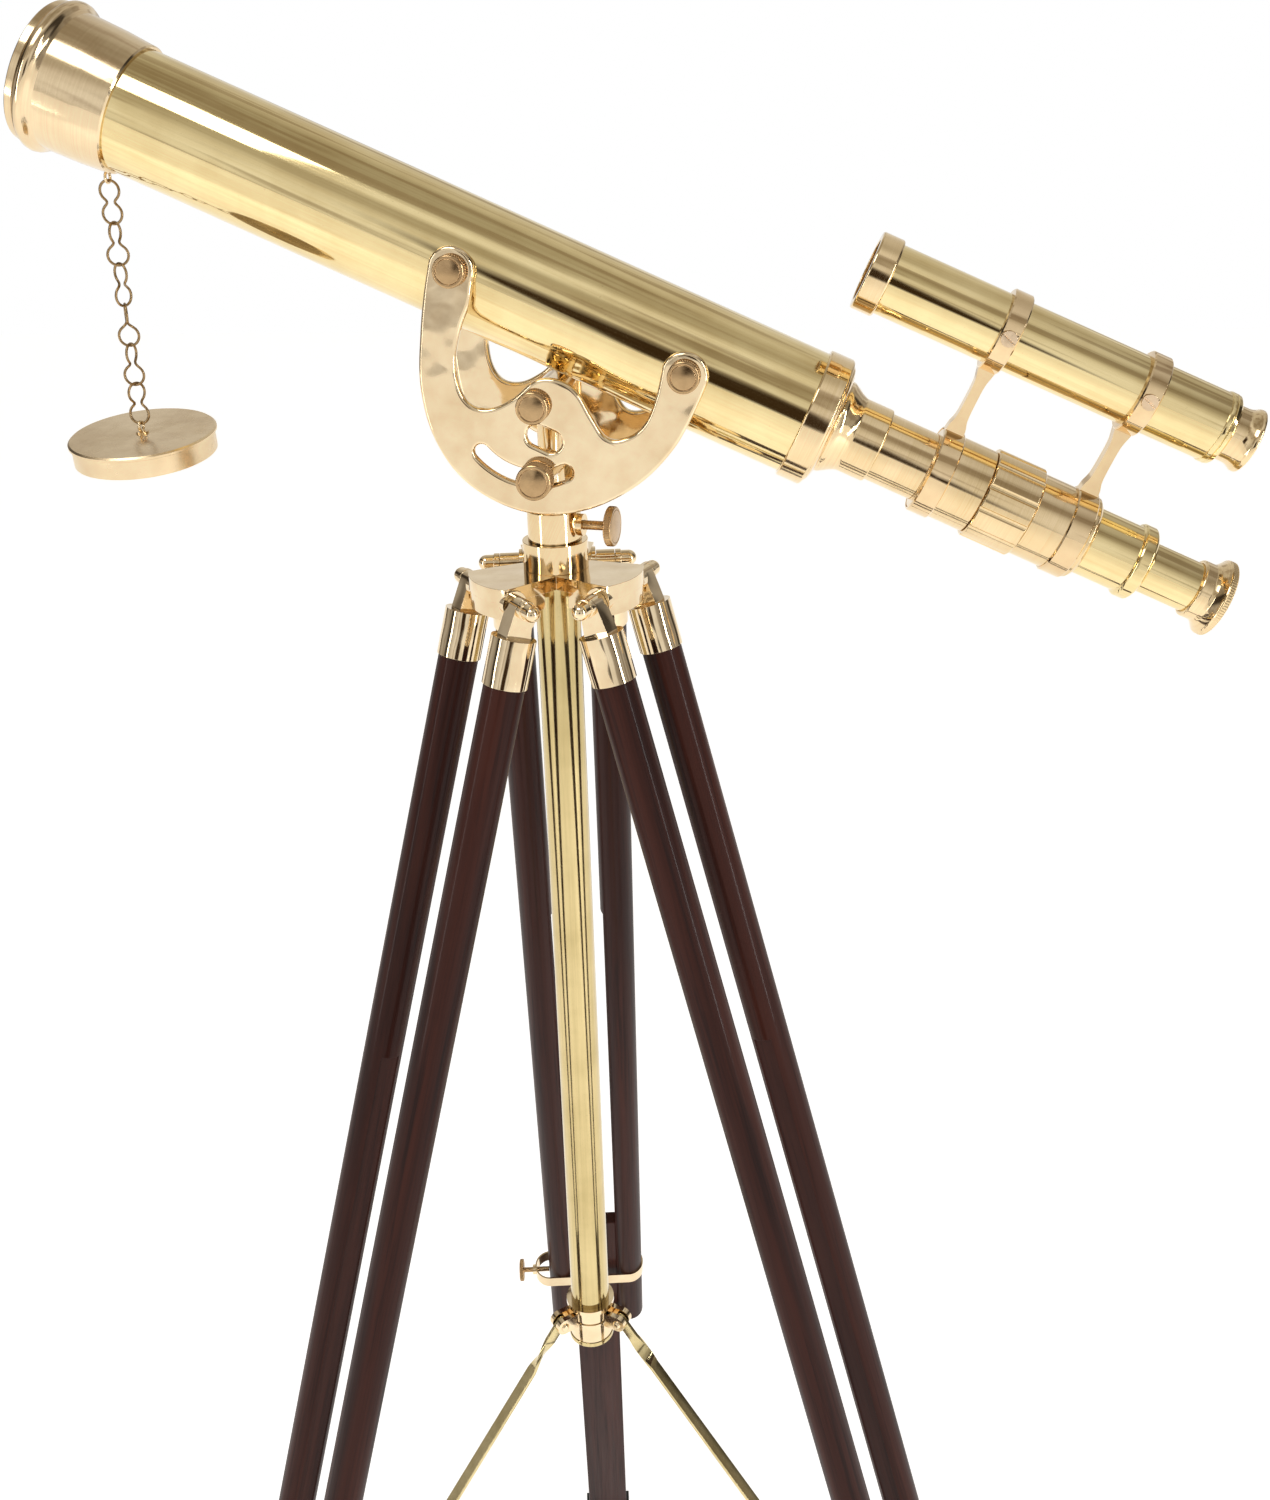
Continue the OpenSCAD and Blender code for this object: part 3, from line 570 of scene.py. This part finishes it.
def disc_screw(name, matrix, shank, disc, pitch, body, node):
    """A threaded shank and the serrated disc that turns it, each (start, end, radius) along Z."""
    start, end, radius = shank
    parts = [(matrix, thread(radius, start, end, pitch), 0)]
    start, end, radius = disc
    parts += knurled_head(matrix @ move(z=start), radius, thickness=end - start, teeth=60)
    build(name, parts, body, (AGED, FACE), [node])


def locking_screws():
    way = turn(LOCK_AZ, "Z") @ ALONG_X
    disc_screw("azimuth_lock_screw", move(z=LOCK_Z) @ way, shank=(13.6, 36.5, 3.1), disc=(35.8, 41.4, 12.7),
               pitch=1.0, body="azimuth_lock", node="azimuth_screw")
    shank = (ROD_HALF + ROD_R + 0.2, STRAP_END + 13, 2.5)
    disc = (STRAP_END + 12.5, STRAP_END + 17.3, 10.0)
    for k, n in enumerate(LEGS):
        disc_screw("leg_screw_" + n, LEG[k] @ move(z=-STRAP_S) @ ALONG_Y[1], shank, disc,
                   pitch=0.8, body="leg_lock_" + n, node="clamp_screw_" + n)


def serrated_cup():
    """The eyepiece cup, with a fine serrated rim."""
    e = REAR_REACH
    line = [(e - 17.9, 15.9), (e - 17.9, 17.4), (e - 16.9, 18.3), (e - 10.4, 18.3), (e - 8.4, 19.3),
            (e - 6.2, 21.4), (e - 4.6, 23.6), (e - 3.8, 24.1), (e - 3.6, 24.1, 0.4), (e - 0.8, 24.1, 0.4),
            (e - 0.6, 24.1), (e, 23.5), (e, 21.8), (e - 3, 16), (e - 5.5, 9), (e - 8, 9), (e - 8, 11.1),
            (e - 14.6, 11.1), (e - 14.6, 15.9)]
    cup = (AXIS @ ALONG_X, lathe(line, teeth=90), 0)
    build("eye_cup", [cup], "draw_inner", (TURNED,), ["eyepiece_cup"])


# ---- chain and struts ----
def link(height, turns):
    """One bent-wire link: two loops about the chain line, each in a plane of its own, and a narrow neck."""
    lower = height - 2 * LINK_R - LINK_NECK
    opening, points, smoothings = 36, 30, 3
    path = []
    for centre, angle, neck in ((height, turns[0], -90), (lower, turns[1], 90)):
        out = turn(math.radians(angle), "Z") @ Vector((1, 0, 0))
        for i in range(points):
            a = math.radians(neck + opening / 2 + (360 - opening) * i / (points - 1))
            path.append(out * LINK_R * math.cos(a) + Vector((0, 0, centre + LINK_R * math.sin(a))))
    for _ in range(smoothings):
        path = [(path[i - 1] + 2 * p + path[(i + 1) % len(path)]) / 4 for i, p in enumerate(path)]
    return sweep(path, WIRE_R + 0.1)


def hanging_chain():
    along, square = HOOK
    eye = AXIS @ Vector((along, 0, square))
    first = eye.z - EYE_R + EYE_WIRE + WIRE_R + PLAY - LINK_R
    pitch = 2 * LINK_R + LINK_NECK + 2 * (LINK_R - WIRE_R) - 2 * PLAY
    parts = [(move(eye.x), link(first - i * pitch, turns), 0) for i, turns in enumerate(LOOP_TURN)]
    build("cap_chain_links", parts, "cap_chain", (WIRE,), ["chain"])


def twisted_bar(span):
    """A 9 by 3 bar along X with round ends: upright in its two pivots and flat between, with a twist
    after each pivot."""
    half, thick, chamfer = 4.5, 1.5, 0.5          # half its width and thickness
    plain, twisted = 16, 26                       # lengths from each pivot
    section = [(thick, half - chamfer), (thick - chamfer, half), (chamfer - thick, half),
               (-thick, half - chamfer), (-thick, chamfer - half), (chamfer - thick, -half),
               (thick - chamfer, -half), (thick, chamfer - half)]
    ends = [half * (1 - math.cos(math.radians(15 * i))) for i in range(7)]
    along = [x - half for x in ends] + [8 + 2 * i for i in range(21)] + [span / 2]
    along += [span - x for x in reversed(along[:-1])]
    verts, faces = [], []
    for x in along:
        near = min(x, span - x)
        twist = math.radians(90) * min(max((near - plain) / twisted, 0), 1)
        shrink = math.sqrt(max(1 - (near / half) ** 2, 0.01)) if near < 0 else 1.0
        for y, z in section:
            tall = z * shrink
            verts.append((x, y * math.cos(twist) + tall * math.sin(twist),
                          tall * math.cos(twist) - y * math.sin(twist)))
    sides = len(section)
    for i in range(len(along) - 1):
        here, there = i * sides, (i + 1) * sides
        for j in range(sides):
            k = (j + 1) % sides
            faces.append((here + j, here + k, there + k, there + j))
    faces += [tuple(range(sides)), tuple(range(len(verts) - sides, len(verts)))]
    return verts, faces


def struts():
    inner = Vector((COLLAR_PIN[0], 0, COLLAR_PIN[1]))
    outer = move(PIN_R, 0, PIN_Z) @ turn(-LEAN, "Y") @ Vector((YOKE_OUT, 0, -YOKE_S))
    reach = outer - inner
    slope = turn(math.atan2(-reach.z, reach.x), "Y")
    for k, n in enumerate(LEGS):
        place = turn(LEG_AZ[k], "Z") @ Matrix.Translation(inner) @ slope
        build("spreader_bar_" + n, [(place, twisted_bar(reach.length), 0)], "strut_" + n,
              (STRUT,), ["strut_" + n])


cradle_screws()
tilt_bolts()
locking_screws()
serrated_cup()
hanging_chain()
struts()


# ---- floor, light and camera ----
FLOOR_HALF = 9          # metres


def stage():
    h = FLOOR_HALF
    floor = bpy.data.meshes.new("floor")
    floor.from_pydata([(-h, -h, 0), (h, -h, 0), (h, h, 0), (-h, h, 0)], [], [(0, 1, 2, 3)])
    g = Graph("pale_floor")
    pale = g.noise(g.place(), 3.0)
    g.shade(Base_Color=g.mix(pale, rgb(0.90, 0.90, 0.90), rgb(0.93, 0.93, 0.93)), Roughness=0.9)
    g.shade(Emission_Color=rgb(1, 1, 1), Emission_Strength=0.62)
    floor.materials.append(g.material)
    sheet = bpy.data.objects.new("floor", floor)
    bpy.context.scene.collection.objects.link(sheet)


# elevation in degrees, and brightness seen there in front of and behind the object
FRONT = [(-90, 0.35), (-56, 0.32), (-48, 0.5), (-43, 0.95), (-37, 0.6), (-29, 1.0), (10, 1.0), (24, 0.85),
         (33, 0.58), (42, 0.55), (50, 0.98), (57, 0.95), (64, 0.58), (80, 0.45), (90, 0.48)]
BEHIND = [(-90, 0.45), (-36, 0.65), (-24, 0.78), (-12, 1.05), (16, 0.9), (32, 0.76), (56, 0.72), (72, 0.5),
          (90, 0.48)]


def room():
    """The room seen in reflections: banded pale walls with some clutter, dimmer sides with a dark doorway
    in each, and one dark figure in front. The camera itself sees plain white."""
    world = bpy.data.worlds.new("studio")
    bpy.context.scene.world = world
    world.use_nodes = True
    g = Graph.of(world)
    out = g.tree.nodes["Background"]
    direction = g.node("TexCoord").outputs["Generated"]
    way = g.node("SeparateXYZ", {0: direction})
    height = g.math("DIVIDE", g.math("ARCSINE", way.outputs[2]), math.pi)
    height = g.math("ADD", height, 0.5)

    def ramp(stops):
        made = g.node("ValToRGB", {0: height})
        ends = made.color_ramp.elements
        while len(ends) < len(stops):
            ends.new(0.5)
        for end, (degrees, value) in zip(ends, stops):
            end.position = degrees / 180 + 0.5
            shade = 1 - min(value, 1)
            end.color = rgb(value, value * (1 - 0.12 * shade), value * (1 - 0.38 * shade))
        return made.outputs[0]

    behind = g.span(way.outputs[1], -0.15, 0.35)
    walls = g.mix(behind, ramp(FRONT), ramp(BEHIND))
    side = g.math("ABSOLUTE", g.math("ADD", way.outputs[0], -0.02))
    narrow = g.span(side, 0.13, 0.19, 1.0, 0.0)
    ahead = g.span(way.outputs[1], -0.2, -0.1, 1.0, 0.0)
    low = g.span(way.outputs[2], -0.17, -0.09)
    high = g.span(way.outputs[2], 0.20, 0.34, 1.0, 0.0)
    figure = g.math("MULTIPLY", g.math("MULTIPLY", narrow, ahead), g.math("MULTIPLY", low, high))
    clutter = g.span(g.noise(direction, 3.4, 3.0), 0.52, 0.58, 0.0, 0.5)
    walls = g.mix(clutter, walls, rgb(0.24, 0.17, 0.10))
    shown = g.mix(figure, walls, rgb(0.05, 0.03, 0.015))
    aside = g.span(g.math("ABSOLUTE", way.outputs[0]), 0.42, 0.72, 0.0, 0.55)
    shown = g.mix(aside, shown, rgb(0.10, 0.07, 0.045))
    doorway = g.math("ABSOLUTE", g.math("SUBTRACT", g.math("ABSOLUTE", way.outputs[0]), 0.86))
    shown = g.mix(g.span(doorway, 0.05, 0.09, 0.9, 0.0), shown, rgb(0.02, 0.014, 0.009))
    shown = g.mix(0.10, shown, rgb(0, 0, 0))
    seen = g.node("LightPath").outputs["Is Camera Ray"]
    g.set(out.inputs["Color"], g.mix(seen, shown, rgb(1, 1, 1)))
    out.inputs["Strength"].default_value = 1.0


def softbox(name, place, target, size, power):
    light = bpy.data.lights.new(name, "AREA")
    light.shape = "RECTANGLE"
    light.size, light.size_y = size
    light.energy = power
    lamp = bpy.data.objects.new(name, light)
    lamp.location = place
    lamp.rotation_euler = (Vector(target) - Vector(place)).to_track_quat("-Z", "Y").to_euler()
    bpy.context.scene.collection.objects.link(lamp)


YAW, PITCH, ROLL = -8.768, 18.931, 1.664      # degrees: from +Y towards +X, downwards, and clockwise
CAMERA_PLACE = (0.1903, -0.9079, 1.5720)


def camera():
    yaw, pitch, roll = (math.radians(a) for a in (YAW, PITCH, ROLL))
    ahead = Vector((math.sin(yaw) * math.cos(pitch), math.cos(yaw) * math.cos(pitch), -math.sin(pitch)))
    side = ahead.cross(Vector((0, 0, 1))).normalized()
    above = side.cross(ahead)
    right = side * math.cos(roll) - above * math.sin(roll)
    top = right.cross(ahead)
    lens = bpy.data.cameras.new("camera")
    lens.lens = 36.435
    lens.sensor_width = 36.0
    lens.shift_y = -0.1
    lens.clip_start = 0.02
    view = bpy.data.objects.new("camera", lens)
    axes = Matrix((right, top, -ahead)).transposed().to_4x4()
    view.matrix_world = Matrix.Translation(CAMERA_PLACE) @ axes
    bpy.context.scene.collection.objects.link(view)
    bpy.context.scene.camera = view


MIDDLE = (0, 0, 0.9)
STRIP = (0.22, 2.2)

stage()
room()
softbox("strip_left", (-1.9, -1.6, 1.5), MIDDLE, STRIP, power=10)
softbox("strip_right", (2.2, -1.2, 1.5), MIDDLE, STRIP, power=22)
softbox("overhead", (-0.6, -1.0, 3.2), (0, 0, 1.3), (1.2, 0.8), power=12)
camera()
bpy.context.scene.view_settings.view_transform = "Standard"
